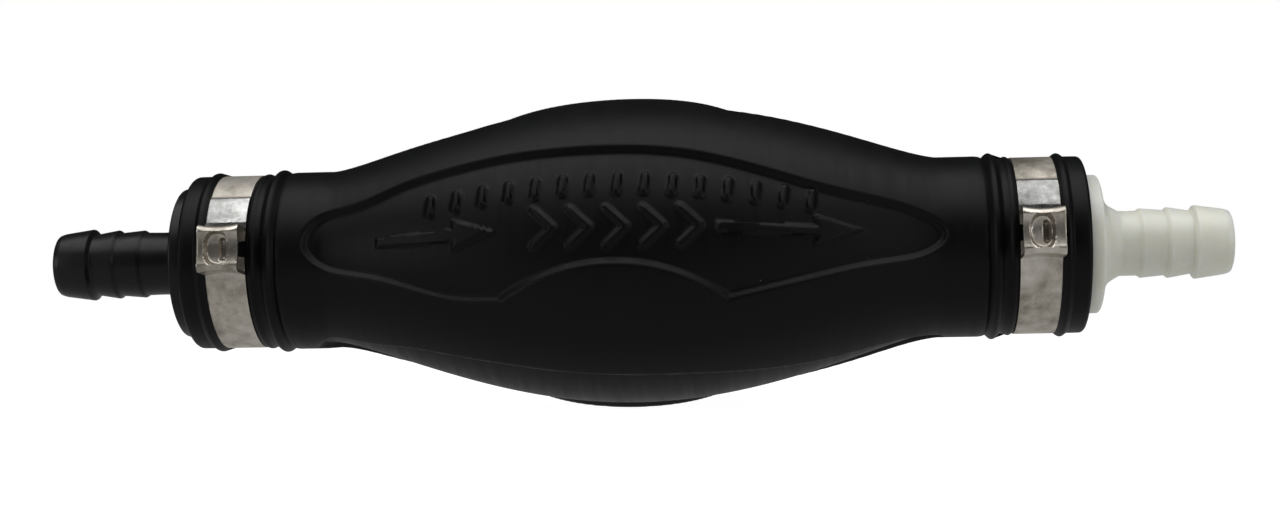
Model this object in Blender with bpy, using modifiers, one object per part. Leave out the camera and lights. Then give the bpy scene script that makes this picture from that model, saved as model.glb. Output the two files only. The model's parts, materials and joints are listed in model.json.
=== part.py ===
"""Siphon bulb pump: a hand-squeezed rubber bulb between two barbed fittings, each with a spring-loaded check valve.

The pump's axis is X. Liquid goes in at the barb at -X and out at the barb at +X. The bulb's centre is the origin,
+Z is up, and the thumb presses the bulb's wall on the -Y side. All lengths are in metres.
"""

import math

import bpy
from mathutils import Matrix

MM = 0.001

# Bulb
BULB_R = 24.7 * MM
NECK_R = 14.3 * MM
BELLY_HALF = 45.0 * MM
BELLY_FULLNESS = 1.3
BELLY_STEPS = 12
WALL = 3.5 * MM
CUFF_END = 70.5 * MM
CUFF_R = 13.85 * MM
CUFF_BORE_R = 9.6 * MM
CUFF_BORE_START = 50.5 * MM
SEAT_R = 13.1 * MM
SEAT_IN, SEAT_OUT = 59.4 * MM, 66.0 * MM
INNER_BEAD, INNER_BEAD_R = 56.25 * MM, 14.7 * MM
LIP_AT, LIP_R = 58.8 * MM, 14.1 * MM
OUTER_BEAD, OUTER_BEAD_R = 66.9 * MM, 14.45 * MM

# The two stretches of wall that the hand presses in, each by up to 10 mm
PRESS_HALF_LENGTH = 32.0 * MM
PRESS_HALF_HEIGHT = 13.0 * MM
PRESS_GAP = 0.3 * MM  # between a pressed wall and the rest of the bulb

# Fittings
BORE_R = 3.3 * MM
STEM_R = 5.07 * MM
TIP_END = 93.5 * MM
FLANGE_IN = CUFF_END + 0.2 * MM
PLUG_END = 50.8 * MM
PLUG_R = 8.9 * MM
RIB_R = 9.35 * MM
POCKET_R = 7.6 * MM
POCKET_END = 66.2 * MM
SNAP_GROOVE_R = 8.05 * MM
SNAP_GROOVE_IN, SNAP_GROOVE_OUT = 51.3 * MM, 52.4 * MM
BARBS = ((79.4, 5.47), (83.6, 5.57), (87.7, 5.75))

# Check valves: one cartridge design, used at both ends and facing the same way along the flow
GAP = 0.2 * MM
CARTRIDGE_R = 7.35 * MM
CARTRIDGE_LENGTH = 13.6 * MM
O_RING_R, O_RING_WIRE_R = 6.85 * MM, 0.5 * MM
SNAP_RING_R, SNAP_RING_BORE_R = 7.8 * MM, 6.2 * MM
SNAP_RING_THICK = 0.8 * MM
STEM_GUIDE_R = 1.5 * MM
SPRING_R = 3.4 * MM
SPRING_WIRE_R = 0.3 * MM
SPRING_TURNS = 3.5

# Clamps
BAND_IN_R = 13.3 * MM
BAND_THICK = 0.7 * MM
BAND_WIDTH = 6.3 * MM
BAND_AT = 62.75 * MM
EAR_ANGLE = math.radians(7.0)
EAR_TOP_R = 18.4 * MM
EAR_HALF_WIDTH = 3.6 * MM

ROUND_STEPS = 36
SMALL_STEPS = 28


def clear_scene():
    for obj in list(bpy.data.objects):
        bpy.data.objects.remove(obj, do_unlink=True)


def make_collection(name):
    collection = bpy.data.collections.new(name)
    bpy.context.scene.collection.children.link(collection)
    return collection


def make_material(name, colour, roughness, metallic=0.0):
    material = bpy.data.materials.new(name)
    material.use_nodes = True
    shader = material.node_tree.nodes["Principled BSDF"]
    shader.inputs["Base Color"].default_value = (*colour, 1.0)
    shader.inputs["Roughness"].default_value = roughness
    shader.inputs["Metallic"].default_value = metallic
    return material


def add_object(name, data, collection, material=None):
    obj = bpy.data.objects.new(name, data)
    collection.objects.link(obj)
    if material:
        data.materials.append(material)
    return obj


def as_cutter(obj, collection):
    for other in list(obj.users_collection):
        other.objects.unlink(obj)
    collection.objects.link(obj)
    obj.hide_render = True
    obj.display_type = "WIRE"
    return obj


def cut(obj, cutter, operation="DIFFERENCE"):
    modifier = obj.modifiers.new(cutter.name, "BOOLEAN")
    modifier.operation = operation
    modifier.object = cutter


def turned(name, profile, collection, material, steps=ROUND_STEPS, closed=True):
    """A turned piece along X. The profile's points are (place along X, radius), outer side first from +X to -X."""
    mesh = bpy.data.meshes.new(name)
    points = [(radius, 0.0, along) for along, radius in profile]
    edges = [(i, i + 1) for i in range(len(points) - 1)]
    if closed:
        edges.append((len(points) - 1, 0))
    mesh.from_pydata(points, edges, [])
    obj = add_object(name, mesh, collection, material)
    obj.rotation_euler = (0.0, math.pi / 2, 0.0)
    screw = obj.modifiers.new("Turn", "SCREW")
    screw.steps = steps
    screw.render_steps = steps
    screw.use_merge_vertices = True
    screw.merge_threshold = 0.00001
    screw.use_smooth_shade = True
    return obj


def mirrored(profile):
    """The same profile on the -X side, still running from +X to -X along its outer side."""
    return [(-along, radius) for along, radius in reversed(profile)]


# ---------------------------------------------------------------- bulb


def belly_radius(along):
    """The bulb's outer radius: a full rounded belly that runs out into straight necks."""
    share = 1.0 - min(1.0, abs(along) / BELLY_HALF) ** 2
    return NECK_R + (BULB_R - NECK_R) * share**BELLY_FULLNESS


def bead(centre, top_r, foot_r, half_width):
    """A rounded bead round the cuff, as five points of an arc, from the far side towards the bulb."""
    angles = [math.pi * i / 4 for i in range(5)]
    return [
        (centre + half_width * math.cos(a), foot_r + (top_r - foot_r) * math.sin(a))
        for a in angles
    ]


def cuff_outside():
    """The outside of one cuff from its end face to the start of the neck."""
    points = [(CUFF_END, CUFF_R - 0.5 * MM), (CUFF_END - 0.5 * MM, CUFF_R)]
    points += bead(OUTER_BEAD, OUTER_BEAD_R, CUFF_R, 0.8 * MM)
    points += [(SEAT_OUT, SEAT_R), (SEAT_IN, SEAT_R)]
    points += bead(LIP_AT, LIP_R, CUFF_R, 0.45 * MM)
    points += bead(INNER_BEAD, INNER_BEAD_R, CUFF_R, 0.9 * MM)
    points += [(INNER_BEAD - 1.2 * MM, NECK_R)]
    return points


def bulb_profile():
    """The closed section of the whole hollow bulb: over the outside from +X to -X, and back along the inside."""
    cuff = cuff_outside()
    belly = [belly_point(i) for i in range(-BELLY_STEPS, BELLY_STEPS + 1)]
    outside = cuff + list(reversed(belly)) + mirrored(cuff)
    inside = [(along, radius - WALL) for along, radius in belly[::2]]
    bore = [(CUFF_BORE_START, CUFF_BORE_R), (CUFF_END, CUFF_BORE_R)]
    return outside + mirrored(bore) + inside + bore


def belly_point(index):
    """Point number index of the belly's outline, counted from its middle, spaced closer where it meets the necks."""
    along = 1.04 * BELLY_HALF * math.sin(math.pi / 2 * index / BELLY_STEPS)
    return (along, belly_radius(along))


def oval_prism(name, half_length, half_height, near, far, collection):
    """An upright oval block that runs along Y from near to far."""
    bpy.ops.mesh.primitive_cylinder_add(
        vertices=ROUND_STEPS, radius=1.0, depth=1.0, rotation=(math.pi / 2, 0.0, 0.0)
    )
    obj = bpy.context.active_object
    obj.name = name
    obj.location = (0.0, (near + far) / 2, 0.0)
    bpy.ops.object.transform_apply(location=False, rotation=True, scale=False)
    obj.data.transform(Matrix.Diagonal((half_length, far - near, half_height, 1.0)))
    return as_cutter(obj, collection)


def make_bulb(pieces, cutters, rubber):
    """The bulb, with the two stretches of wall that the hand presses as pieces of their own."""
    shell = turned("bulb_shell", bulb_profile(), pieces, rubber)
    beyond = BULB_R + 5 * MM
    inside = 4 * MM
    spans = {"front": (-beyond, -inside), "back": (inside, beyond)}
    for side, (near, far) in spans.items():
        half_length, half_height = PRESS_HALF_LENGTH + PRESS_GAP / 2, PRESS_HALF_HEIGHT + PRESS_GAP / 2
        window = oval_prism(f"{side}_window", half_length, half_height, near, far, cutters)
        cut(shell, window)
        half_length, half_height = half_length - PRESS_GAP, half_height - PRESS_GAP
        plug = oval_prism(f"{side}_plug", half_length, half_height, near, far, cutters)
        wall = turned(f"bulb_{side}_wall", bulb_profile(), pieces, rubber)
        cut(wall, plug, "INTERSECT")


# ---------------------------------------------------------------- fittings


def barbed_outside(flange_r, flange_end, root):
    """A fitting's outside from the tip to the flange. root is the outline between the stem and the flange's face."""
    tip = [(TIP_END, 4.5 * MM), (TIP_END - 0.6 * MM, 4.95 * MM)]
    ridges = []
    for place, radius in reversed(BARBS):
        ridges += [(place * MM + 0.4 * MM, radius * MM), (place * MM, (radius - 0.05) * MM)]
        ridges += [(place * MM - 0.7 * MM, STEM_R + 0.02 * MM)]
    return tip + ridges + root + [(flange_end, flange_r), (FLANGE_IN, flange_r)]


def plug_outside():
    """The part of a fitting inside the cuff: three ribs that the rubber grips, each steep on the flange's side."""
    points = [(FLANGE_IN, PLUG_R)]
    for place in (66.5 * MM, 61.5 * MM, 56.5 * MM):
        points += [(place, PLUG_R), (place - 0.1 * MM, RIB_R), (place - 2.6 * MM, PLUG_R)]
    return points + [(PLUG_END, PLUG_R - 0.4 * MM)]


def fitting_profile(flange_r, flange_end, root):
    """The closed section of a fitting on the +X side, with the valve's pocket open towards the bulb."""
    groove = [(SNAP_GROOVE_IN, POCKET_R), (SNAP_GROOVE_IN, SNAP_GROOVE_R), (SNAP_GROOVE_OUT, SNAP_GROOVE_R)]
    pocket = [(PLUG_END, POCKET_R), *groove, (SNAP_GROOVE_OUT, POCKET_R)]
    pocket += [(POCKET_END, POCKET_R), (POCKET_END, BORE_R)]
    mouth = [(TIP_END - 0.3 * MM, BORE_R), (TIP_END, BORE_R + 0.3 * MM)]
    return barbed_outside(flange_r, flange_end, root) + plug_outside() + pocket + mouth


def make_fittings(pieces, black_plastic, nylon):
    flange_end = 72.5 * MM
    root = [(flange_end + 0.9 * MM, STEM_R), (flange_end + 0.25 * MM, 5.3 * MM), (flange_end, 5.97 * MM)]
    profile = fitting_profile(12.0 * MM, flange_end, root)
    turned("inlet_fitting", mirrored(profile), pieces, black_plastic)

    flange_end = 73.0 * MM
    centre_along, centre_r, fillet_r = 76.8 * MM, 8.2 * MM, 3.13 * MM
    angles = [math.radians(a) for a in (270, 250, 230, 210, 190)]
    fillet = [(centre_along + fillet_r * math.cos(a), centre_r + fillet_r * math.sin(a)) for a in angles]
    root = fillet + [(flange_end, 8.3 * MM)]
    turned("outlet_fitting", fitting_profile(10.9 * MM, flange_end, root), pieces, nylon)


# ---------------------------------------------------------------- check valves


def along_flow(start, points):
    """Cartridge points (distance along the flow, radius), outer side first from downstream, moved to their place."""
    return [(start + distance * MM, radius) for distance, radius in points]


def make_cage(name, start, pieces, cutters, plastic):
    """A pierced disc that guides the poppet's stem, with a skirt that holds it off what is downstream."""
    skirt_in = CARTRIDGE_R - 1.0 * MM
    hole_r = STEM_GUIDE_R + 0.25 * MM
    profile = [
        (13.6, CARTRIDGE_R), (10.2, CARTRIDGE_R), (10.2, hole_r),
        (11.7, hole_r), (11.7, skirt_in), (13.6, skirt_in),
    ]
    cage = turned(name, along_flow(start, profile), pieces, plastic, SMALL_STEPS)
    for number in range(6):
        angle = math.tau * number / 6
        bpy.ops.mesh.primitive_cylinder_add(
            vertices=16,
            radius=1.2 * MM,
            depth=4.0 * MM,
            location=(start + 10.9 * MM, 4.95 * MM * math.cos(angle), 4.95 * MM * math.sin(angle)),
            rotation=(0.0, math.pi / 2, 0.0),
        )
        drill = as_cutter(bpy.context.active_object, cutters)
        drill.name = f"{name}_drill_{number + 1}"
        cut(cage, drill)


def make_spring(name, start, pieces, steel):
    """A compression spring round the poppet's stem, from the back of the disc to the cage."""
    first, last = start + 6.2 * MM, start + 9.8 * MM
    per_turn = 16
    count = int(SPRING_TURNS * per_turn)
    curve = bpy.data.curves.new(name, "CURVE")
    curve.dimensions = "3D"
    curve.bevel_depth = SPRING_WIRE_R
    curve.bevel_resolution = 2
    curve.use_fill_caps = True
    spline = curve.splines.new("POLY")
    spline.points.add(count)
    for i, point in enumerate(spline.points):
        angle = math.tau * i / per_turn
        along = first + (last - first) * i / count
        point.co = (along, SPRING_R * math.cos(angle), SPRING_R * math.sin(angle), 1.0)
    add_object(name, curve, pieces, steel)


def make_snap_ring(name, centre, pieces, cutters, steel):
    """An open ring sprung into the groove at the pocket's mouth, its gap at the bottom."""
    half = SNAP_RING_THICK / 2
    section = [(half, SNAP_RING_R), (-half, SNAP_RING_R), (-half, SNAP_RING_BORE_R), (half, SNAP_RING_BORE_R)]
    profile = [(centre + along, radius) for along, radius in section]
    ring = turned(name, profile, pieces, steel, SMALL_STEPS)
    bpy.ops.mesh.primitive_cube_add(size=5.0 * MM, location=(centre, 0.0, -SNAP_RING_R))
    gap = as_cutter(bpy.context.active_object, cutters)
    gap.name = f"{name}_gap"
    cut(ring, gap)


def make_valve(end, start, pieces, cutters, looks):
    """One check valve: seat, its O-ring, seal, poppet, spring and cage, as the liquid meets them."""
    groove_r = O_RING_R - O_RING_WIRE_R - 0.1 * MM
    groove = [(2.0, CARTRIDGE_R), (2.0, groove_r), (0.8, groove_r), (0.8, CARTRIDGE_R)]
    rim = [(3.0, 4.1 * MM), (2.6, 4.6 * MM), (2.6, CARTRIDGE_R)]
    seat = [*rim, *groove, (0.0, CARTRIDGE_R), (0.0, BORE_R), (3.0, BORE_R)]
    turned(f"{end}_valve_seat", along_flow(start, seat), pieces, looks["plastic"], SMALL_STEPS)

    angles = [math.tau * i / 8 for i in range(8)]
    section = [(O_RING_WIRE_R * math.cos(a), O_RING_R + O_RING_WIRE_R * math.sin(a)) for a in angles]
    o_ring = [(start + 1.4 * MM + along, radius) for along, radius in section]
    turned(f"{end}_valve_o_ring", o_ring, pieces, looks["seal"], SMALL_STEPS)

    seal = [(4.2, 5.2 * MM), (3.2, 5.2 * MM), (3.2, 1.9 * MM), (4.2, 1.9 * MM)]
    turned(f"{end}_valve_seal", along_flow(start, seal), pieces, looks["seal"], SMALL_STEPS)

    poppet = [
        (12.6, 0.0), (12.6, 1.1 * MM), (12.2, STEM_GUIDE_R),
        (5.8, STEM_GUIDE_R), (5.8, 5.6 * MM), (4.4, 5.6 * MM), (4.4, 1.6 * MM),
        (3.0, 1.6 * MM), (3.0, 2.4 * MM), (2.6, 2.4 * MM), (2.1, 1.6 * MM), (2.1, 0.0),
    ]
    turned(f"{end}_valve_poppet", along_flow(start, poppet), pieces, looks["plastic"], SMALL_STEPS, closed=False)

    make_spring(f"{end}_valve_spring", start, pieces, looks["steel"])
    make_cage(f"{end}_valve_cage", start, pieces, cutters, looks["plastic"])


# ---------------------------------------------------------------- clamps


def ear_loop(band_r, top_r, half_width, corner):
    """One closed loop round the band and over its ear, as (Y, Z) points, the ear pointing along -Y and a little up."""
    foot = math.asin(half_width / band_r)
    count = 2 * ROUND_STEPS
    spread = math.tau - 2 * foot
    loop = [
        (-band_r * math.cos(foot + spread * i / count), band_r * math.sin(foot + spread * i / count))
        for i in range(count + 1)
    ]
    corners = ((-half_width + corner, -1), (half_width - corner, 1))
    for centre, side in corners:
        turns = (0, 30, 60, 90) if side < 0 else (90, 60, 30, 0)
        for turn in turns:
            a = math.radians(turn)
            loop.append((-(top_r - corner + corner * math.sin(a)), centre + side * corner * math.cos(a)))
    up, along = math.sin(EAR_ANGLE), math.cos(EAR_ANGLE)
    return [(y * along + z * up, z * along - y * up) for y, z in loop]


def make_clamp(name, centre, pieces, steel):
    """A one-ear clamp: a steel strip closed round the cuff, its slack taken up in a raised ear."""
    curve = bpy.data.curves.new(name, "CURVE")
    curve.dimensions = "2D"
    curve.fill_mode = "BOTH"
    curve.extrude = BAND_WIDTH / 2
    loops = (
        ear_loop(BAND_IN_R + BAND_THICK, EAR_TOP_R, EAR_HALF_WIDTH, 1.2 * MM),
        ear_loop(BAND_IN_R, EAR_TOP_R - BAND_THICK, EAR_HALF_WIDTH - BAND_THICK, 0.5 * MM),
    )
    for loop in loops:
        spline = curve.splines.new("POLY")
        spline.points.add(len(loop) - 1)
        for point, (y, z) in zip(spline.points, loop):
            point.co = (y, z, 0.0, 1.0)
        spline.use_cyclic_u = True
    clamp = add_object(name, curve, pieces, steel)
    clamp.rotation_euler = (math.pi / 2, 0.0, math.pi / 2)
    clamp.location = (centre, 0.0, 0.0)


def main():
    clear_scene()
    pieces = make_collection("siphon_bulb_pump")
    cutters = make_collection("cutters")
    rubber = make_material("black_rubber", (0.022, 0.023, 0.025), 0.55)
    black_plastic = make_material("black_acetal", (0.020, 0.020, 0.022), 0.35)
    nylon = make_material("natural_nylon", (0.80, 0.81, 0.76), 0.40)
    steel = make_material("stainless_steel", (0.62, 0.60, 0.57), 0.30, 1.0)
    looks = {
        "plastic": make_material("valve_plastic", (0.85, 0.85, 0.83), 0.35),
        "seal": make_material("seal_rubber", (0.05, 0.05, 0.05), 0.60),
        "steel": make_material("spring_steel", (0.70, 0.70, 0.72), 0.25, 1.0),
    }
    make_bulb(pieces, cutters, rubber)
    make_fittings(pieces, black_plastic, nylon)
    make_valve("inlet", -POCKET_END + GAP, pieces, cutters, looks)
    make_valve("outlet", POCKET_END - GAP - CARTRIDGE_LENGTH, pieces, cutters, looks)
    snap_ring_at = (SNAP_GROOVE_IN + SNAP_GROOVE_OUT) / 2
    make_snap_ring("inlet_snap_ring", -snap_ring_at, pieces, cutters, looks["steel"])
    make_snap_ring("outlet_snap_ring", snap_ring_at, pieces, cutters, looks["steel"])
    make_clamp("inlet_clamp", -BAND_AT, pieces, steel)
    make_clamp("outlet_clamp", BAND_AT, pieces, steel)


main()
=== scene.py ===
"""Looks of the siphon bulb pump: a moulded rubber bulb, two clamped barbed fittings and check valves inside them.

The pump's axis is X, liquid flows along +X, and +Z is up. Angles round the axis are counted from -Y, the side
that the thumb presses, up towards +Z.
"""

import json
import math

import bmesh
import bpy
import numpy as np
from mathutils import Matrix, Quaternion, Vector


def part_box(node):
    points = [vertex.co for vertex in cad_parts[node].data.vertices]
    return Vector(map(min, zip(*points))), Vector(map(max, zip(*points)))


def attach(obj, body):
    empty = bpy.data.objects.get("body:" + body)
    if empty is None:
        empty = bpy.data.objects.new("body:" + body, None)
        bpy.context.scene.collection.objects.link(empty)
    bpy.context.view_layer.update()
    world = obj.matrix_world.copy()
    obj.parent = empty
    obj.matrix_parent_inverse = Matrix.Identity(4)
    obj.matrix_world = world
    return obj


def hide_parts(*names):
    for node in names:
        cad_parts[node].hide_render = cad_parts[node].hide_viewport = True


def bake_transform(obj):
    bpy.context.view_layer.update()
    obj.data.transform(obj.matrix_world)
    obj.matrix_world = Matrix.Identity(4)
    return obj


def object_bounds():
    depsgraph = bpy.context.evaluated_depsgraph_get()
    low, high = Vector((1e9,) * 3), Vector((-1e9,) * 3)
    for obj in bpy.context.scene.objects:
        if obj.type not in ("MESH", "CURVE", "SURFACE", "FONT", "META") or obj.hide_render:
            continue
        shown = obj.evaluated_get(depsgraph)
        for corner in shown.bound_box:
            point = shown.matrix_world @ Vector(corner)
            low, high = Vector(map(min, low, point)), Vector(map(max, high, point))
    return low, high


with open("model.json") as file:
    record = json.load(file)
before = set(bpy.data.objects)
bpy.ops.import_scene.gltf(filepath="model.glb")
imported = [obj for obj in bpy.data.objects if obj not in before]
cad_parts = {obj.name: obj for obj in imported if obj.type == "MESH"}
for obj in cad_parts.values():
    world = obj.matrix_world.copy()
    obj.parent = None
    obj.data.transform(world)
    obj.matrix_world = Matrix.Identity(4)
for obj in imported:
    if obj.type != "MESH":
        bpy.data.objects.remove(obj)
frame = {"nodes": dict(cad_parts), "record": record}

MM = 0.001
CAD_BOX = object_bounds()

# Places and radii that come from the CAD model
BULB_R = CAD_BOX[1].z
CUFF_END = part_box("bulb_shell")[1].x
TIP_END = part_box("outlet_fitting")[1].x
INLET_FLANGE_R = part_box("inlet_fitting")[1].z
OUTLET_FLANGE_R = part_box("outlet_fitting")[1].z
OUTLET_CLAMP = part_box("outlet_clamp")
CLAMP_AT = (OUTLET_CLAMP[0].x + OUTLET_CLAMP[1].x) / 2
CLAMP_WIDTH = OUTLET_CLAMP[1].x - OUTLET_CLAMP[0].x
EAR_TOP = -OUTLET_CLAMP[0].y

# Bulb
NECK_R = 14.25 * MM
BELLY_HALF = 48.0 * MM
BELLY_FULLNESS = 1.35
BELLY_GRID_HALF = 52.0 * MM
BELLY_STEP = 0.34 * MM
TURN_COLUMNS = 400
WALL = 3.5 * MM
CUFF_BORE_DEPTH = 20.0 * MM
CUFF_R = 13.9 * MM
CUFF_BORE_R = 9.6 * MM
SEAT_R = 13.15 * MM
PANEL_DEPTH = 1.0 * MM
MARK_HEIGHT = 0.60 * MM

# A sunk panel's outline, as places along X in mm and angles in degrees. Its sides are a smooth curve through
# these points, clockwise from the thumb arc's left foot to its right foot, and the arc closes the outline.
PANEL_SIDES = (
    (-27.0, -18.0), (-38.0, -11.0), (-47.0, -5.5), (-50.5, 10.0), (-48.0, 28.0), (-41.0, 33.0), (-31.0, 40.5),
    (-14.0, 42.0), (8.0, 40.0), (30.0, 29.5), (43.0, 23.5), (48.5, 10.0), (45.0, -4.0), (34.0, -9.0),
)
THUMB_MIDDLE = -1.6
THUMB_HALF_WIDTH = 17.3
THUMB_TOP_ANGLE = -2.6
THUMB_RISE = 14.7
THUMB_FULLNESS = 2.2


def smooth(t):
    """0 up to t = 0, 1 from t = 1, and a soft step between."""
    t = np.clip(t, 0.0, 1.0)
    return t * t * (3.0 - 2.0 * t)


def curve_through(points, steps=6):
    """A smooth line through the points, which it keeps, with steps short pieces between each two."""
    p = np.array([points[0], *points, points[-1]], float)
    t = np.arange(steps)[:, None] / steps
    pieces = []
    for a, b, c, d in zip(p, p[1:], p[2:], p[3:]):
        bend = (-a + 3 * b - 3 * c + d) * t**3 + (2 * a - 5 * b + 4 * c - d) * t**2 + (c - a) * t + 2 * b
        pieces.append(bend / 2)
    return np.vstack([*pieces, p[-1:]])


def arc_points(centre, radius, first, last, count):
    """Points of an arc. The angles are in degrees."""
    angles = np.radians(np.linspace(first, last, count))
    return [(centre[0] + radius * math.cos(a), centre[1] + radius * math.sin(a)) for a in angles]


def rounded(points, radii, count=5):
    """The open outline with each inner corner rounded to its radius, by count points."""
    out = [Vector(points[0])]
    for before, at, after, radius in zip(points, points[1:], points[2:], radii):
        at = Vector(at)
        back, ahead = (Vector(before) - at), (Vector(after) - at)
        if radius <= 0:
            out.append(at)
            continue
        half = back.angle(ahead) / 2
        reach = min(radius / math.tan(half), 0.49 * back.length, 0.49 * ahead.length)
        first, last = at + back.normalized() * reach, at + ahead.normalized() * reach
        for i in range(count):
            t = i / (count - 1)
            out.append(first * (1 - t) ** 2 + at * 2 * t * (1 - t) + last * t**2)
    return [(p.x, p.y) for p in (*out, Vector(points[-1]))]


# ---------------------------------------------------------------- meshes


def new_object(name, mesh, material):
    obj = bpy.data.objects.new(name, mesh)
    bpy.context.scene.collection.objects.link(obj)
    mesh.materials.append(material)
    return obj


def finish_mesh(name, vertices, faces, material, sharp=40.0):
    """An object of these vertices and faces, with normals outwards and edges over sharp degrees kept."""
    mesh = bpy.data.meshes.new(name)
    mesh.from_pydata(np.asarray(vertices).tolist(), [], faces)
    bm = bmesh.new()
    bm.from_mesh(mesh)
    bmesh.ops.remove_doubles(bm, verts=bm.verts, dist=1e-7)
    bmesh.ops.recalc_face_normals(bm, faces=bm.faces)
    bm.to_mesh(mesh)
    bm.free()
    mesh.shade_smooth()
    mesh.set_sharp_from_angle(angle=math.radians(sharp))
    return new_object(name, mesh, material)


def lathe(name, profile, material, segments=128, sharp=40.0):
    """A turned piece along X from a closed profile of (place along X, radius)."""
    p = np.array(profile)
    angles = math.tau * np.arange(segments) / segments
    x = np.repeat(p[:, 0], segments)
    r = np.repeat(p[:, 1], segments)
    a = np.tile(angles, len(p))
    vertices = np.stack([x, -r * np.cos(a), r * np.sin(a)], 1)
    faces = []
    for i in range(len(p)):
        here, there = i * segments, (i + 1) % len(p) * segments
        for j in range(segments):
            k = (j + 1) % segments
            faces.append((here + j, here + k, there + k, there + j))
    return finish_mesh(name, vertices, faces, material, sharp)


def stitch(first, first_at, second, second_at):
    """Triangles that join two rows of vertices, each with its places along the seam in rising order."""
    faces, i, j = [], 0, 0
    while i < len(first) - 1 or j < len(second) - 1:
        step_first = j == len(second) - 1 or (i < len(first) - 1 and first_at[i + 1] <= second_at[j + 1])
        if step_first:
            faces.append((first[i], first[i + 1], second[j]))
            i += 1
        else:
            faces.append((first[i], second[j + 1], second[j]))
            j += 1
    return faces


def grid_faces(rows, columns, start=0):
    """The quads of a grid of vertices, whose first one has the number start."""
    corners = []
    for i in range(rows - 1):
        for j in range(columns - 1):
            a = start + i * columns + j
            corners.append((a, a + 1, a + columns + 1, a + columns))
    return corners


# ---------------------------------------------------------------- bulb


def belly_radius(x):
    """The bulb's outer radius between the panels."""
    share = np.clip(1.0 - (np.abs(x) / BELLY_HALF) ** 2, 0.0, 1.0)
    return NECK_R + (BULB_R - NECK_R) * share**BELLY_FULLNESS


def unrolled(points):
    """(place in mm, degrees) points as (place, distance round the bulb) in metres."""
    p = np.array(points, float)
    x = p[:, 0] * MM
    return np.stack([x, belly_radius(x) * np.radians(p[:, 1])], 1)


def panel_outline():
    """The closed outline of one panel, unrolled from the bulb."""
    share = np.linspace(1.0, -1.0, 25)
    arc_x = THUMB_MIDDLE + THUMB_HALF_WIDTH * share
    arc_angle = THUMB_TOP_ANGLE - THUMB_RISE * np.abs(share) ** THUMB_FULLNESS
    arc = unrolled(np.stack([arc_x, arc_angle], 1))
    right_foot, left_foot = (arc_x[0], arc_angle[0]), (arc_x[-1], arc_angle[-1])
    sides = curve_through(unrolled([left_foot, *PANEL_SIDES, right_foot]), 8)
    return np.vstack([sides[:-1], arc[:-1]])


def distance_to_polygon(x, s, polygon):
    """Signed distance of the points from a closed outline, negative inside."""
    best = np.full(x.shape, 1.0)
    inside = np.zeros(x.shape, bool)
    for (ax, ay), (bx, by) in zip(polygon, np.roll(polygon, -1, axis=0)):
        ex, ey = bx - ax, by - ay
        t = np.clip(((x - ax) * ex + (s - ay) * ey) / max(ex * ex + ey * ey, 1e-18), 0.0, 1.0)
        best = np.minimum(best, np.hypot(x - ax - t * ex, s - ay - t * ey))
        crosses = ((ay > s) != (by > s)) & (x < ex * (s - ay) / (ey if abs(ey) > 1e-12 else 1e-12) + ax)
        inside ^= crosses
    return np.where(inside, -best, best)


def distance_to_bar(x, s, start, end, half_width):
    """Signed distance from a round-ended bar."""
    ex, ey = end[0] - start[0], end[1] - start[1]
    t = np.clip(((x - start[0]) * ex + (s - start[1]) * ey) / (ex * ex + ey * ey), 0.0, 1.0)
    return np.hypot(x - start[0] - t * ex, s - start[1] - t * ey) - half_width


def arrow(tail, neck, tip, tail_width, neck_width, head_width):
    """An arrow's outline, in mm, from its tail and neck to its tip."""
    (tx, ts), (nx, ns), (px, ps) = tail, neck, tip
    shape = (
        (tx, ts - tail_width / 2), (nx, ns - neck_width / 2), (nx - 0.3, ns - head_width / 2), (px, ps),
        (nx - 0.3, ns + head_width / 2), (nx, ns + neck_width / 2), (tx, ts + tail_width / 2),
    )
    return np.array(shape) * MM


def flow_marks(x, s, wanted):
    """Signed distance from a panel's raised marks: two arrows, chevrons between them, and a row of ribs."""
    shapes = [
        distance_to_polygon(x, s, arrow((-38.5, 2.5), (-26.0, 3.5), (-19.5, 4.0), 1.5, 2.0, 5.0)),
        distance_to_polygon(x, s, arrow((14.0, 4.0), (29.0, 3.0), (36.0, 3.0), 1.5, 1.5, 5.0)),
    ]
    if wanted == "all":
        for number in range(5):
            tip = ((-10.4 + 5.5 * number) * MM, 4.3 * MM)
            for side in (-1, 1):
                foot = (tip[0] - 3.0 * MM, tip[1] + side * 2.9 * MM)
                shapes.append(distance_to_bar(x, s, foot, tip, 0.55 * MM))
        for number in range(15):
            at = (-30.0 + 4.15 * number) * MM
            middle = belly_radius(at) * math.radians(26.6 - 0.0035 * (at / MM + 5.0) ** 2)
            foot, head = (at, middle - 1.35 * MM), (at + 0.25 * MM, middle + 1.35 * MM)
            shapes.append(distance_to_bar(x, s, foot, head, 0.58 * MM))
    return np.minimum.reduce(shapes)


def belly_surface(x, angle):
    """The bulb's radius with its four sunk panels and the raised marks in the front and back ones."""
    radius = belly_radius(x)
    quarter = math.pi / 2
    number = np.round((angle - math.radians(12.0)) / quarter)
    s = radius * (angle - number * quarter)
    away = distance_to_polygon(x, s, panel_outline())
    sunk = PANEL_DEPTH * smooth((0.40 * MM - away) / (1.15 * MM))
    raised = np.zeros(x.shape)
    for panel, wanted in ((0, "all"), (2, "arrows")):
        here = (number % 4 == panel) & (away < 0)
        raised[here] = MARK_HEIGHT * smooth((0.18 * MM - flow_marks(x[here], s[here], wanted)) / (0.38 * MM))
    return radius - sunk + raised


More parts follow.
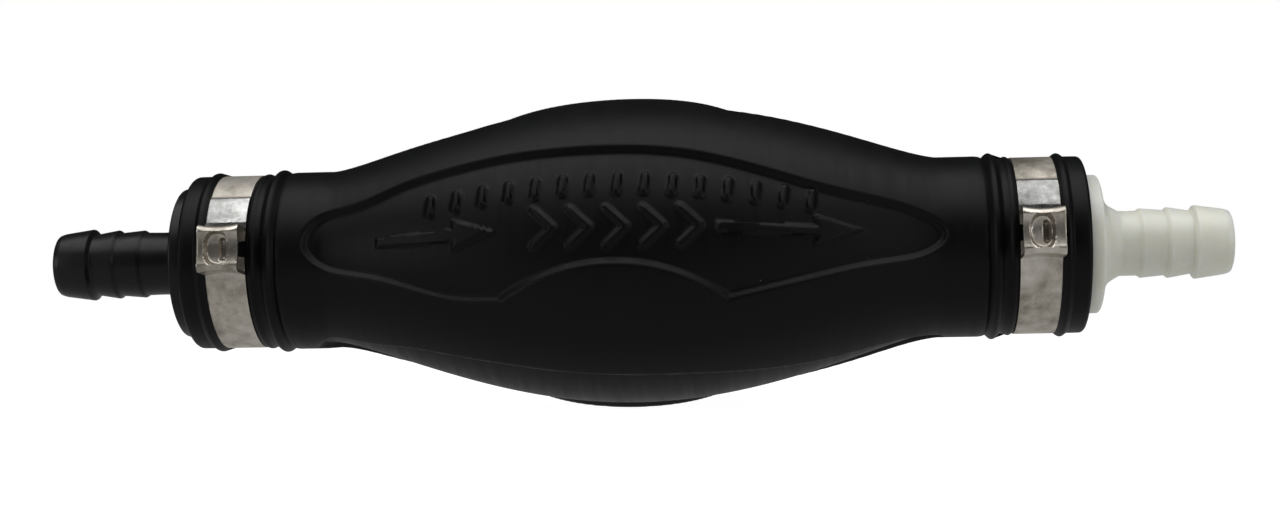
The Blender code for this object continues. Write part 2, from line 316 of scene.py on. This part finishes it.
def cuff_profile():
    """The outside of the +X cuff as (place, radius), from its end face to where the belly's grid starts."""
    end = CUFF_END
    points = [(end, CUFF_R - 0.9 * MM), *arc_points((end - 0.7 * MM, CUFF_R - 0.7 * MM), 0.7 * MM, 0, 90, 7)]
    points += [(end - 2.6 * MM, CUFF_R + 0.02 * MM)]
    points += bead(end - 3.65 * MM, 14.45 * MM, CUFF_R, 0.95 * MM)
    points += [(end - 4.65 * MM, SEAT_R), (end - 11.05 * MM, SEAT_R)]
    points += bead(end - 11.75 * MM, 14.1 * MM, CUFF_R - 0.05 * MM, 0.6 * MM)
    points += bead(end - 14.25 * MM, 14.7 * MM, CUFF_R - 0.05 * MM, 1.15 * MM)
    points += [(end - 15.8 * MM, NECK_R - 0.08 * MM), (end - 16.4 * MM, NECK_R), (end - 17.4 * MM, NECK_R)]
    return points


def bead(centre, top, foot, half_width):
    """A rounded bead round the cuff that runs out softly at its feet."""
    t = np.linspace(-1.0, 1.0, 15)
    height = np.cos(t * math.pi / 2) ** 1.2
    return [(centre - u * half_width, foot + (top - foot) * h) for u, h in zip(t, height)]


def inner_radius(x):
    """The bulb's inside: hollow in the belly and bored in the cuffs."""
    hollow = belly_radius(x) - WALL
    return np.where(np.abs(x) > CUFF_END - CUFF_BORE_DEPTH, CUFF_BORE_R, hollow)


def bulb_half(name, first_angle, material):
    """Half of the bulb from first_angle over half a turn, closed where the other half meets it."""
    columns = TURN_COLUMNS // 2 + 1
    angles = first_angle + math.pi * np.arange(columns) / (columns - 1)
    cuff = np.array(cuff_profile())
    count = int(2 * BELLY_GRID_HALF / BELLY_STEP)
    belly_x = np.linspace(BELLY_GRID_HALF, -BELLY_GRID_HALF, count)
    x = np.concatenate([cuff[:, 0], belly_x, -cuff[::-1, 0]])
    radius = np.empty((len(x), columns))
    radius[: len(cuff)] = cuff[:, 1:2]
    radius[-len(cuff):] = cuff[::-1, 1:2]
    grid_x, grid_a = np.meshgrid(belly_x, angles, indexing="ij")
    radius[len(cuff):-len(cuff)] = belly_surface(grid_x, grid_a)
    outer = skin(x, angles, radius)

    step = CUFF_END - CUFF_BORE_DEPTH
    sliver = 0.01 * MM
    hollow_x = np.linspace(step - sliver, sliver - step, 41)
    inner_x = np.concatenate([[CUFF_END, step + sliver], hollow_x, [-step - sliver, -CUFF_END]])
    inner_angles = angles[::5]
    inner_r = np.repeat(inner_radius(inner_x)[:, None], len(inner_angles), axis=1)
    inner = skin(inner_x, inner_angles, inner_r)

    rows, inner_rows, inner_columns = len(x), len(inner_x), len(inner_angles)
    index = np.arange(rows * columns).reshape(rows, columns)
    inner_index = rows * columns + np.arange(inner_rows * inner_columns).reshape(inner_rows, inner_columns)
    faces = grid_faces(rows, columns) + grid_faces(inner_rows, inner_columns, rows * columns)
    for edge in (0, -1):
        faces += stitch(index[edge].tolist(), angles, inner_index[edge].tolist(), inner_angles)
        faces += stitch(index[:, edge].tolist(), -x, inner_index[:, edge].tolist(), -inner_x)
    return finish_mesh(name, np.vstack([outer, inner]), faces, material, sharp=50.0)


def skin(x, angles, radius):
    """Points of a surface round the X axis, a row for each place and a column for each angle."""
    y = -radius * np.cos(angles)[None, :]
    z = radius * np.sin(angles)[None, :]
    return np.stack([np.repeat(x[:, None], len(angles), 1), y, z], 2).reshape(-1, 3)


def make_bulb(material):
    """The bulb in two halves that meet at its mould's parting line."""
    front = bulb_half("bulb_front_half", -math.pi / 2, material)
    back = bulb_half("bulb_back_half", math.pi / 2, material)
    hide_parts("bulb_shell", "bulb_front_wall")
    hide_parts("bulb_back_wall")
    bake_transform(front)
    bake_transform(back)


# ---------------------------------------------------------------- fittings


FITTING_BORE_R = 3.3 * MM
PLUG_R = 8.9 * MM
PLUG_RIB_R = 9.35 * MM
PLUG_RIBS = (66.5 * MM, 61.5 * MM, 56.5 * MM)
POCKET_R = 7.6 * MM
POCKET_END = 66.2 * MM
SNAP_GROOVE_R = 8.05 * MM
SNAP_GROOVE_IN, SNAP_GROOVE_OUT = 51.3 * MM, 52.4 * MM


def barb_profile(stem_r):
    """The barbed end from its mouth to the stem: three ridges, each rising to a steep face."""
    tip = TIP_END
    mouth_r = FITTING_BORE_R + 0.35 * MM
    points = [(tip - 0.4 * MM, FITTING_BORE_R), (tip, mouth_r), (tip, 4.85 * MM)]
    radii = [0.1, 0.5]
    ridges = ((5.75, 5.80, 4.95), (9.9, 5.57, 5.12), (14.1, 5.47, 5.10))
    points.append((tip - 1.0 * MM, 5.15 * MM))
    radii.append(0.3)
    for back, ridge, foot in ridges:
        points += [(tip - back * MM + 0.25 * MM, ridge * MM), (tip - back * MM - 0.3 * MM, foot * MM)]
        radii += [0.25, 0.3]
    points.append((tip - 16.6 * MM, stem_r))
    return points, radii


def fitting(name, root, root_radii, flange_r, mirror, material):
    """A barbed fitting, its flange and the plug in the cuff. root runs from the stem to the flange's rim."""
    points, radii = barb_profile(root[0][1])
    flange_in = CUFF_END + 0.2 * MM
    plug_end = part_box("outlet_fitting")[0].x
    plug = [(flange_in, flange_r), (flange_in, PLUG_R)]
    for place in PLUG_RIBS:
        plug += [(place, PLUG_R), (place - 0.1 * MM, PLUG_RIB_R), (place - 2.6 * MM, PLUG_R)]
    plug += [(plug_end, PLUG_R - 0.4 * MM), (plug_end, POCKET_R)]
    plug += [(SNAP_GROOVE_IN, POCKET_R), (SNAP_GROOVE_IN, SNAP_GROOVE_R)]
    plug += [(SNAP_GROOVE_OUT, SNAP_GROOVE_R), (SNAP_GROOVE_OUT, POCKET_R)]
    plug += [(POCKET_END, POCKET_R), (POCKET_END, FITTING_BORE_R)]
    outside = rounded([*points, *root, *plug[:1]], [r * MM for r in (*radii, 0.3, *root_radii)])
    profile = [*outside, *plug[1:]]
    sign = -1 if mirror else 1
    return lathe(name, [(sign * x, r) for x, r in profile], material)


def make_fittings(black, nylon):
    face = -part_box("inlet_fitting")[0].x - 21.0 * MM
    root = [(face + 1.0 * MM, 5.05 * MM), (face, 5.07 * MM), (face, INLET_FLANGE_R)]
    inlet = fitting("inlet_fitting_body", root, (0.3, 0.5, 0.45), INLET_FLANGE_R, True, black)
    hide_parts("inlet_fitting")
    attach(inlet, "housing")

    face = TIP_END - 20.5 * MM
    cone = [(face + 3.3 * MM, 5.1 * MM), (face + 1.3 * MM, 6.3 * MM), (face + 0.4 * MM, 8.4 * MM)]
    root = [*cone, (face, 9.6 * MM), (face, OUTLET_FLANGE_R)]
    outlet = fitting("outlet_fitting_body", root, (2.4, 2.2, 1.2, 0.4, 0.5), OUTLET_FLANGE_R, False, nylon)
    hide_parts("outlet_fitting")
    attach(outlet, "housing")


# ---------------------------------------------------------------- clamps

BAND_IN_R = 13.3 * MM
BAND_THICK = 0.62 * MM
EAR_ANGLE = math.radians(7.0)
EAR_HALF = 3.75 * MM


def strip_path():
    """The clamp strip's middle line in its own plane, as (outward, sideways) points, in two stretches.

    The first goes once round the cuff, from one of the ear's feet to the other, and the second over the ear.
    """
    mid = BAND_IN_R + BAND_THICK / 2
    foot = math.asin((EAR_HALF + 0.45 * MM) / mid)
    round_angles = np.linspace(foot, math.tau - foot, 241)
    band = [(mid * math.cos(a), mid * math.sin(a)) for a in round_angles]
    top = EAR_TOP - BAND_THICK / 2
    lip = 0.8 * MM
    leg = EAR_HALF - BAND_THICK / 2
    over = [(mid * math.cos(foot) + 0.45 * MM, -leg), (top - lip, -leg)]
    over += arc_points((top - lip, -leg + lip), lip, 270, 360, 7)[1:]
    across = np.linspace(-leg + lip, leg - lip, 33)[1:-1]
    over += [(top, side) for side in across]
    over += arc_points((top - lip, leg - lip), lip, 0, 90, 7)
    over += [(mid * math.cos(foot) + 0.45 * MM, leg)]
    return np.array(band), np.array(over)


def ear_sink(along, side):
    """How far the ear's top is pressed in: an oval bowl with a slot, in a shallow valley."""
    reach = np.where(along > 0, 1.6 * MM, 2.2 * MM)
    oval = np.clip(1.0 - (np.abs(along) / reach) ** 2.6 - (np.abs(side) / (2.8 * MM)) ** 2.6, 0.0, 1.0)
    valley = np.clip(1.0 - (side / (2.6 * MM)) ** 2, 0.0, 1.0)
    slot_width = smooth((0.45 * MM - np.abs(along - 0.4 * MM)) / (0.25 * MM))
    slot = slot_width * smooth((1.8 * MM - np.abs(side)) / (0.4 * MM))
    slope = 1.5 * MM + 0.22 * along
    return 0.45 * MM * valley + slope * smooth(oval * 2.4) + 0.8 * MM * slot


def clamp_tongue(centre, notch_side, start):
    """Points and faces of the strip's inner end, which passes under the ear, with a notch in its edge."""
    half, rows, columns = CLAMP_WIDTH / 2 - 0.05 * MM, 61, 7
    spread = (EAR_HALF + 0.2 * MM) / BAND_IN_R
    turn = np.linspace(-spread, spread, rows)
    side = turn * BAND_IN_R
    notch = smooth((1.25 * MM - np.abs(side - 0.3 * MM)) / (0.25 * MM))
    reach = half - 2.6 * MM * notch
    points = []
    for radius in (BAND_IN_R + 0.02 * MM, BAND_IN_R + 0.45 * MM):
        for column in range(columns):
            along = -half + (reach + half) * column / (columns - 1)
            a = turn + EAR_ANGLE
            points.append(np.stack([centre + notch_side * along, -radius * np.cos(a), radius * np.sin(a)], 1))
    index = start + np.arange(2 * columns * rows).reshape(2, columns, rows)
    faces = grid_faces(columns, rows, start) + grid_faces(columns, rows, start + columns * rows)
    for k in (0, -1):
        for n in range(rows - 1):
            faces.append((index[0, k, n], index[0, k, n + 1], index[1, k, n + 1], index[1, k, n]))
        for n in range(columns - 1):
            faces.append((index[0, n, k], index[0, n + 1, k], index[1, n + 1, k], index[1, n, k]))
    return np.vstack(points), [tuple(int(v) for v in f) for f in faces]


def make_clamp(name, node, centre, notch_side, material):
    """One clamp: the strip as a closed skin, swept round the cuff and over the ear, and its tongue."""
    band, over = strip_path()
    path = np.vstack([band, over])
    ahead, behind = np.roll(path, -1, axis=0), np.roll(path, 1, axis=0)
    tangent = ahead - behind
    tangent /= np.linalg.norm(tangent, axis=1)[:, None]
    outward = np.stack([tangent[:, 1], -tangent[:, 0]], 1)
    count = len(path)
    in_ear = np.arange(count) >= len(band)
    angle_from_ear = np.degrees(np.arctan2(path[:, 1], path[:, 0]))
    lapped = smooth((angle_from_ear - 15.0) / 1.0) * smooth((40.0 - angle_from_ear) / 1.2) * ~in_ear

    half = CLAMP_WIDTH / 2
    edge = 0.12 * MM
    across = np.concatenate([[-half], np.linspace(-half + edge, half - edge, 41), [half]])
    vertices, polish = [], []
    for along in across:
        on_top = in_ear & (path[:, 0] > EAR_TOP - 1.3 * MM)
        drop = np.where(on_top, ear_sink(along * notch_side, path[:, 1]), 0.0)
        pull = np.where(in_ear, 0.35 * MM * (1.0 - (along / half) ** 2) * np.sign(path[:, 1]), 0.0)
        lift = 0.22 * MM * lapped
        slim = 0.06 * MM if abs(along) >= half else 0.0
        mid = path - np.stack([drop, pull * (np.abs(path[:, 1]) > EAR_HALF - 1.1 * MM)], 1)
        outer = mid + outward * (BAND_THICK / 2 - slim + lift)[:, None]
        inner = mid - outward * (BAND_THICK / 2 - slim)
        vertices.append((along, outer, inner))
    points = []
    for layer in (1, 2):
        for row in vertices:
            out, side = row[layer][:, 0], row[layer][:, 1]
            turn_y = -(out * math.cos(EAR_ANGLE) - side * math.sin(EAR_ANGLE))
            turn_z = side * math.cos(EAR_ANGLE) + out * math.sin(EAR_ANGLE)
            points.append(np.stack([np.full(count, centre + notch_side * row[0]), turn_y, turn_z], 1))
            polish.append(np.maximum(lapped, in_ear * 0.6))
    rows = len(across)
    index = np.arange(2 * rows * count).reshape(2, rows, count)
    faces = []
    for k in range(count):
        n = (k + 1) % count
        for i in range(rows - 1):
            faces.append((index[0, i, k], index[0, i, n], index[0, i + 1, n], index[0, i + 1, k]))
            faces.append((index[1, i, k], index[1, i + 1, k], index[1, i + 1, n], index[1, i, n]))
        faces.append((index[0, 0, k], index[1, 0, k], index[1, 0, n], index[0, 0, n]))
        faces.append((index[0, -1, k], index[0, -1, n], index[1, -1, n], index[1, -1, k]))
    faces = [tuple(int(v) for v in f) for f in faces]
    tongue_points, tongue_faces = clamp_tongue(centre, notch_side, sum(len(p) for p in points))
    polish.append(np.full(len(tongue_points), 0.5))
    clamp = finish_mesh(name, np.vstack([*points, tongue_points]), faces + tongue_faces, material, sharp=45.0)
    attribute = clamp.data.attributes.new("polish", "FLOAT", "POINT")
    attribute.data.foreach_set("value", np.concatenate(polish).astype(np.float32))
    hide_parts(node)
    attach(clamp, "housing")
    return clamp


# ---------------------------------------------------------------- materials


class Shader:
    """A material's nodes, with short ways to add and join them."""

    def __init__(self, name):
        self.material = bpy.data.materials.new(name)
        self.material.use_nodes = True
        self.tree = self.material.node_tree
        self.main = self.tree.nodes["Principled BSDF"]
        self.place = self.node("ShaderNodeTexCoord").outputs["Object"]

    def node(self, kind, **values):
        made = self.tree.nodes.new(kind)
        for key, value in values.items():
            setattr(made, key, value)
        return made

    def join(self, source, target):
        self.tree.links.new(source, target)

    def stretched(self, scale):
        mapping = self.node("ShaderNodeMapping")
        mapping.inputs["Scale"].default_value = scale
        self.join(self.place, mapping.inputs["Vector"])
        return mapping.outputs["Vector"]

    def noise(self, scale, detail=4.0, roughness=0.6, place=None):
        made = self.node("ShaderNodeTexNoise")
        made.inputs["Scale"].default_value = scale
        made.inputs["Detail"].default_value = detail
        made.inputs["Roughness"].default_value = roughness
        self.join(place or self.place, made.inputs["Vector"])
        return made.outputs["Fac"]

    def ramp(self, source, stops):
        """source turned into colours or grey values. stops are (place, grey or colour)."""
        made = self.node("ShaderNodeValToRGB")
        elements = made.color_ramp.elements
        while len(elements) < len(stops):
            elements.new(0.5)
        for element, (place, value) in zip(elements, stops):
            element.position = place
            element.color = (*value, 1.0) if isinstance(value, tuple) else (value, value, value, 1.0)
        self.join(source, made.inputs["Fac"])
        return made.outputs["Color"]

    def mix(self, factor, first, second):
        made = self.node("ShaderNodeMix", data_type="RGBA")
        self.join(factor, made.inputs["Factor"])
        self.join(first, made.inputs["A"])
        self.join(second, made.inputs["B"])
        return made.outputs["Result"]

    def bump(self, height, distance, strength=1.0, over=None):
        made = self.node("ShaderNodeBump")
        made.inputs["Distance"].default_value = distance
        made.inputs["Strength"].default_value = strength
        self.join(height, made.inputs["Height"])
        if over:
            self.join(over, made.inputs["Normal"])
        return made.outputs["Normal"]

    def set(self, **values):
        for key, value in values.items():
            self.main.inputs[key.replace("_", " ")].default_value = value

    def colour(self, source):
        self.join(source, self.main.inputs["Base Color"])

    def roughness(self, source):
        self.join(source, self.main.inputs["Roughness"])

    def normal(self, source):
        self.join(source, self.main.inputs["Normal"])


def moulded_rubber():
    """Satin black rubber with a fine mould grain, faint streaks round the bulb and a few specks of dust."""
    s = Shader("moulded_rubber")
    cloud = s.noise(60.0, 5.0)
    base = s.ramp(cloud, ((0.3, (0.0008, 0.0009, 0.0010)), (0.7, (0.0016, 0.0018, 0.0021))))
    specks = s.ramp(s.noise(1500.0, 2.0), ((0.79, 0.0), (0.82, 1.0)))
    dust = s.ramp(cloud, ((0.0, (0.10, 0.10, 0.095)), (1.0, (0.16, 0.16, 0.15))))
    s.colour(s.mix(specks, base, dust))
    streaks = s.noise(1.0, 3.0, 0.5, s.stretched((900.0, 60.0, 60.0)))
    s.roughness(s.ramp(streaks, ((0.25, 0.40), (0.75, 0.50))))
    grain = s.noise(2600.0, 3.0, 0.7)
    s.normal(s.bump(streaks, 0.00002, 0.5, s.bump(grain, 0.00003, 0.5)))
    s.set(Specular_IOR_Level=0.16)
    return s.material


def black_acetal():
    """Black moulded plastic, a little glossier than the rubber, with fine turning marks from its mould."""
    s = Shader("black_acetal_moulded")
    cloud = s.noise(120.0, 4.0)
    s.colour(s.ramp(cloud, ((0.3, (0.0035, 0.0035, 0.0038)), (0.7, (0.0065, 0.0065, 0.007)))))
    s.roughness(s.ramp(s.noise(700.0, 4.0), ((0.3, 0.30), (0.7, 0.40))))
    rings = s.noise(1.0, 2.0, 0.5, s.stretched((2500.0, 40.0, 40.0)))
    s.normal(s.bump(rings, 0.00002, 0.4))
    s.set(Specular_IOR_Level=0.24)
    return s.material


def natural_nylon():
    """Milky nylon that lets some light into it, a little yellower in the thick parts."""
    s = Shader("natural_nylon_moulded")
    cloud = s.noise(180.0, 4.0)
    s.colour(s.ramp(cloud, ((0.3, (0.78, 0.78, 0.68)), (0.7, (0.86, 0.86, 0.78)))))
    s.roughness(s.ramp(s.noise(900.0, 3.0), ((0.3, 0.30), (0.7, 0.40))))
    s.normal(s.bump(s.noise(600.0, 4.0), 0.00004, 0.4))
    s.set(Subsurface_Weight=0.9, Subsurface_Scale=0.003)
    s.main.inputs["Subsurface Radius"].default_value = (1.0, 0.95, 0.75)
    return s.material


def clamp_steel():
    """Rolled stainless strip: cloudy and lightly scratched, and polished where the clamp was closed."""
    s = Shader("clamp_strip_steel")
    cloud = s.noise(330.0, 6.0, 0.65)
    blotches = s.noise(1100.0, 3.0, 0.6)
    tone = s.mix(blotches, cloud, s.noise(90.0, 2.0))
    rolled = s.ramp(tone, ((0.36, (0.26, 0.24, 0.20)), (0.5, (0.52, 0.48, 0.42)), (0.64, (0.70, 0.66, 0.60))))
    rubbed = s.ramp(tone, ((0.36, (0.16, 0.16, 0.155)), (0.5, (0.32, 0.32, 0.31)), (0.64, (0.62, 0.62, 0.61))))
    polish = s.node("ShaderNodeAttribute", attribute_name="polish").outputs["Fac"]
    s.colour(s.mix(s.ramp(polish, ((0.7, 0.0), (1.0, 1.0))), rolled, rubbed))
    dull = s.ramp(cloud, ((0.3, 0.55), (0.7, 0.42)))
    bright = s.ramp(cloud, ((0.4, 0.34), (0.6, 0.14)))
    s.roughness(s.mix(polish, dull, bright))
    lines = s.noise(1.0, 5.0, 0.7, s.stretched((6000.0, 260.0, 260.0)))
    dents = s.noise(420.0, 3.0)
    s.normal(s.bump(dents, 0.00014, 0.6, s.bump(lines, 0.00002, 0.3)))
    s.set(Metallic=0.92)
    return s.material


def valve_plastic():
    s = Shader("valve_acetal")
    s.colour(s.ramp(s.noise(300.0), ((0.3, (0.74, 0.74, 0.71)), (0.7, (0.82, 0.82, 0.80)))))
    s.roughness(s.ramp(s.noise(900.0), ((0.3, 0.32), (0.7, 0.42))))
    s.normal(s.bump(s.noise(1500.0), 0.00002, 0.4))
    return s.material


def seal_rubber():
    s = Shader("seal_nitrile")
    s.colour(s.ramp(s.noise(400.0), ((0.3, (0.012, 0.012, 0.012)), (0.7, (0.022, 0.022, 0.022)))))
    s.roughness(s.ramp(s.noise(900.0), ((0.3, 0.45), (0.7, 0.60))))
    s.normal(s.bump(s.noise(2200.0), 0.00003, 0.5))
    return s.material


def spring_steel():
    s = Shader("spring_steel_wire")
    s.colour(s.ramp(s.noise(500.0), ((0.3, (0.60, 0.60, 0.61)), (0.7, (0.70, 0.70, 0.72)))))
    s.roughness(s.ramp(s.noise(1200.0), ((0.3, 0.18), (0.7, 0.30))))
    s.normal(s.bump(s.noise(2500.0), 0.00001, 0.4))
    s.set(Metallic=1.0)
    return s.material


# ---------------------------------------------------------------- valves


SPRING_R = 3.4 * MM
SPRING_WIRE_R = 0.3 * MM
SPRING_TURNS = 3.5


def make_spring(end, material):
    """A valve's spring: a wire helix with flat end turns, between the poppet and the cage."""
    low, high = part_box(f"{end}_valve_spring")
    start, finish = low.x + SPRING_WIRE_R, high.x - SPRING_WIRE_R
    rows, columns = 220, 12
    turn = np.linspace(0.0, 1.0, rows)
    rise = smooth((turn - 0.12) / 0.76) * 0.35 + np.clip((turn - 0.12) / 0.76, 0.0, 1.0) * 0.65
    angle = math.tau * SPRING_TURNS * turn
    centre_x = start + (finish - start) * rise
    centre = np.stack([centre_x, SPRING_R * np.cos(angle), SPRING_R * np.sin(angle)], 1)
    outward = np.stack([np.zeros(rows), np.cos(angle), np.sin(angle)], 1)
    along = np.array([1.0, 0.0, 0.0])
    points = []
    for column in range(columns):
        a = math.tau * column / columns
        points.append(centre + SPRING_WIRE_R * (math.cos(a) * outward + math.sin(a) * along))
    index = np.arange(columns * rows).reshape(columns, rows)
    faces = []
    for column in range(columns):
        after = (column + 1) % columns
        for n in range(rows - 1):
            faces.append((index[column, n], index[column, n + 1], index[after, n + 1], index[after, n]))
    faces += [tuple(index[:, 0]), tuple(index[::-1, -1])]
    faces = [tuple(int(v) for v in f) for f in faces]
    spring = finish_mesh(f"{end}_valve_coil", np.vstack(points), faces, material, sharp=60.0)
    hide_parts(f"{end}_valve_spring")
    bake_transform(spring)


def dress_valves():
    """The valves inside keep their CAD shapes, apart from the springs, and get finished materials."""
    finishes = {
        "valve_plastic": valve_plastic(),
        "seal_rubber": seal_rubber(),
        "spring_steel": spring_steel(),
    }
    for end in ("inlet", "outlet"):
        make_spring(end, finishes["spring_steel"])
    for row in frame["record"]["subparts"]:
        if row["material_slot"] in finishes:
            mesh = frame["nodes"][row["node"]].data
            mesh.materials.clear()
            mesh.materials.append(finishes[row["material_slot"]])


# ---------------------------------------------------------------- studio


def camera_only(material_or_world, seen, lit):
    """A shader output that shows one shader to the camera and another to every other ray."""
    tree = material_or_world.node_tree
    ray = tree.nodes.new("ShaderNodeLightPath")
    mix = tree.nodes.new("ShaderNodeMixShader")
    tree.links.new(ray.outputs["Is Camera Ray"], mix.inputs["Fac"])
    tree.links.new(lit.outputs[0], mix.inputs[1])
    tree.links.new(seen.outputs[0], mix.inputs[2])
    return mix.outputs[0]


def make_studio():
    """A plain pale floor under the bulb, running out into a white surround.

    To the camera both are white. To the pump the floor is a soft glow that fades away from it.
    """
    world = bpy.data.worlds.new("studio")
    world.use_nodes = True
    tree = world.node_tree
    seen = tree.nodes["Background"]
    seen.inputs["Color"].default_value = (1.0, 1.0, 1.0, 1.0)
    lit = tree.nodes.new("ShaderNodeBackground")
    lit.inputs["Color"].default_value = (0.03, 0.031, 0.033, 1.0)
    tree.links.new(camera_only(world, seen, lit), tree.nodes["World Output"].inputs["Surface"])
    bpy.context.scene.world = world

    floor_material = bpy.data.materials.new("pale_floor")
    floor_material.use_nodes = True
    tree = floor_material.node_tree
    tree.nodes.remove(tree.nodes["Principled BSDF"])
    diffuse = tree.nodes.new("ShaderNodeBsdfDiffuse")
    diffuse.inputs["Color"].default_value = (0.28, 0.28, 0.28, 1.0)
    glow = tree.nodes.new("ShaderNodeEmission")
    glow.inputs["Color"].default_value = (0.985, 0.985, 0.985, 1.0)
    white = tree.nodes.new("ShaderNodeAddShader")
    tree.links.new(diffuse.outputs[0], white.inputs[0])
    tree.links.new(glow.outputs[0], white.inputs[1])
    dim = tree.nodes.new("ShaderNodeEmission")
    place = tree.nodes.new("ShaderNodeNewGeometry")
    away = tree.nodes.new("ShaderNodeVectorMath")
    away.operation = "LENGTH"
    fade = tree.nodes.new("ShaderNodeMapRange")
    fade.interpolation_type = "SMOOTHSTEP"
    fade_from, fade_to = 0.10, 0.65
    near_glow, far_glow = 0.46, 0.02
    for number, value in enumerate((fade_from, fade_to, near_glow, far_glow), start=1):
        fade.inputs[number].default_value = value
    tree.links.new(place.outputs["Position"], away.inputs[0])
    tree.links.new(away.outputs["Value"], fade.inputs[0])
    tree.links.new(fade.outputs[0], dim.inputs["Strength"])
    surface = tree.nodes["Material Output"].inputs["Surface"]
    tree.links.new(camera_only(floor_material, white, dim), surface)
    mesh = bpy.data.meshes.new("floor")
    reach = 6.0
    z = CAD_BOX[0].z - 0.05 * MM
    corners = [(-reach, -reach, z), (reach, -reach, z), (reach, reach, z), (-reach, reach, z)]
    mesh.from_pydata(corners, [], [(0, 1, 2, 3)])
    new_object("floor", mesh, floor_material)


def soft_light(name, place, size, power, aim=(0.0, 0.0, 0.0), colour=(1.0, 1.0, 1.0)):
    light = bpy.data.lights.new(name, "AREA")
    light.shape = "RECTANGLE"
    light.size, light.size_y = size
    light.energy = power
    light.color = colour
    obj = bpy.data.objects.new(name, light)
    bpy.context.scene.collection.objects.link(obj)
    obj.location = place
    obj.rotation_euler = (Vector(aim) - Vector(place)).to_track_quat("-Z", "Y").to_euler()


def make_lights():
    soft_light("overhead", (0.0, -0.22, 0.80), (1.5, 0.9), 8.6, aim=(0.0, -0.22, 0.0))
    for side in (-1, 1):
        soft_light(f"side_fill_{'inlet' if side < 0 else 'outlet'}", (side * 0.9, -0.6, 0.0), (0.3, 0.9), 3.0)


def make_camera():
    """The camera stands level with the pump, a little towards its outlet, tilted slightly to one side."""
    distance = 0.3216
    yaw = math.radians(4.0)
    roll = math.radians(1.2)
    focal_share = 2010.0 / 1280.0
    camera = bpy.data.cameras.new("camera")
    camera.lens = focal_share * camera.sensor_width
    obj = bpy.data.objects.new("camera", camera)
    bpy.context.scene.collection.objects.link(obj)
    right = Vector((math.cos(yaw), math.sin(yaw), 0.0))
    target = right * 0.96 * MM + Vector((0.0, 0.0, -0.3 * MM))
    obj.location = target + Vector((math.sin(yaw), -math.cos(yaw), 0.0)) * distance
    obj.rotation_mode = "QUATERNION"
    level = (target - obj.location).to_track_quat("-Z", "Y")
    obj.rotation_quaternion = level @ Quaternion((0.0, 0.0, 1.0), -roll)
    camera.clip_start, camera.clip_end = 0.01, 50.0
    bpy.context.scene.camera = obj


def main():
    bpy.context.scene.view_settings.view_transform = "Standard"
    make_bulb(moulded_rubber())
    make_fittings(black_acetal(), natural_nylon())
    steel = clamp_steel()
    make_clamp("inlet_clamp_strip", "inlet_clamp", -CLAMP_AT, 1, steel)
    make_clamp("outlet_clamp_strip", "outlet_clamp", CLAMP_AT, -1, steel)
    dress_valves()
    make_studio()
    make_lights()
    make_camera()


main()
